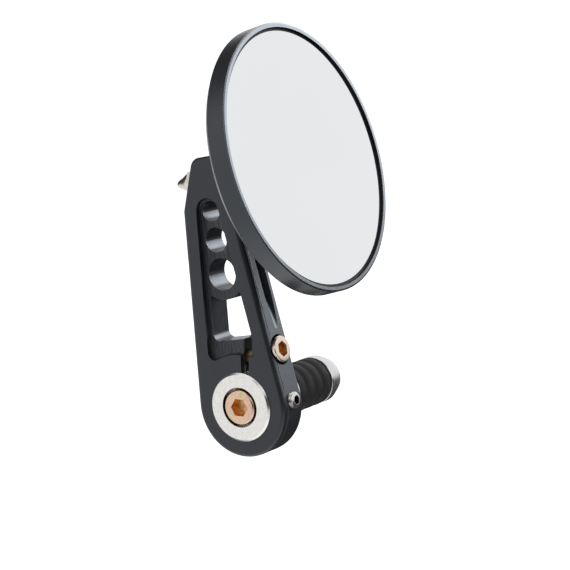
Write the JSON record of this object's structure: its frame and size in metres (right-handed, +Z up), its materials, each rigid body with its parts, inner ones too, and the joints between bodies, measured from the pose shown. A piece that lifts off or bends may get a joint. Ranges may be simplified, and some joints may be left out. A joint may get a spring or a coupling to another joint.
{
  "type": "bar-end mirror",
  "caption": "Round bar-end mirror on a tapered clamp arm with lightening holes, a ball joint and an expanding handlebar insert.",
  "frame": {"origin": "on the handlebar's axis, at the insert's shoulder where the bar's end seats", "axes": "+X inboard along the bar, +Y forward (the glass faces -Y), +Z up the arm"},
  "size_m": [0.1027, 0.0669, 0.1523],
  "materials": {
    "black_anodised": "black anodised, satin",
    "turned_aluminium": "fine turned, bright",
    "zinc_steel": "zinc plated",
    "yellow_zinc": "yellow zinc with a faint rainbow",
    "black_rubber": "matt",
    "nut_alloy": "machined",
    "stainless": "bright",
    "nickel": "polished nickel",
    "race_plastic": "natural acetal",
    "carrier_plastic": "matt",
    "foam": "closed-cell foam tape",
    "mirror_glass": "silvered glass"
  },
  "bodies": {
    "insert": {"bar_insert": "turned_aluminium", "bolt_head_washer": "zinc_steel", "spigot_washer": "zinc_steel", "expander_sleeve": "black_rubber"},
    "expander_screw": {"expander_bolt": "yellow_zinc"},
    "expander_plug": {"expander_nut": "nut_alloy", "nut_washer": "zinc_steel"},
    "clamp_arm": {"arm": "black_anodised", "pinch_bolt": "yellow_zinc", "lock_screw": "stainless"},
    "pivot_stud": {"ball_stud": "stainless", "stud_washer": "stainless", "cap_washer": "stainless", "cap_nut": "nickel"},
    "ball_race": {"race_front": "race_plastic", "race_rear": "race_plastic"},
    "mirror_head": {"mirror_housing": "black_anodised", "socket_ring": "black_anodised", "ring_screws": "stainless", "carrier_plate": "carrier_plastic", "adhesive_pad": "foam", "glass_seal": "black_rubber", "mirror_glass": "mirror_glass"}
  },
  "joints": [
    {"name": "arm_swing", "type": "hinge", "parent": "insert", "child": "clamp_arm", "pos_m": [0, 0, 0], "axis": [1, 0, 0], "continuous": true},
    {"name": "bolt_turn", "type": "hinge", "parent": "insert", "child": "expander_screw", "pos_m": [0, 0, 0], "axis": [1, 0, 0], "range_deg": [0, 1080]},
    {"name": "plug_draw", "type": "slide", "parent": "insert", "child": "expander_plug", "axis": [-1, 0, 0], "range_m": [0, 0.00375], "deforming": ["expander_sleeve"]},
    {"name": "stud_roll", "type": "hinge", "parent": "clamp_arm", "child": "pivot_stud", "pos_m": [-0.00685, -0.0216, 0.0831], "axis": [0, 1, 0], "continuous": true},
    {"name": "head_pan", "type": "hinge", "parent": "pivot_stud", "child": "ball_race", "pos_m": [-0.00685, -0.0216, 0.0831], "axis": [0, 0, 1], "range_deg": [-12, 12]},
    {"name": "head_tilt", "type": "hinge", "parent": "ball_race", "child": "mirror_head", "pos_m": [-0.00685, -0.0216, 0.0831], "axis": [-1, 0, 0], "range_deg": [-15, 9]}
  ],
  "couplings": [
    {"joint": "bolt_turn", "follows": "plug_draw", "rad_per_m": 5026.5}
  ]
}
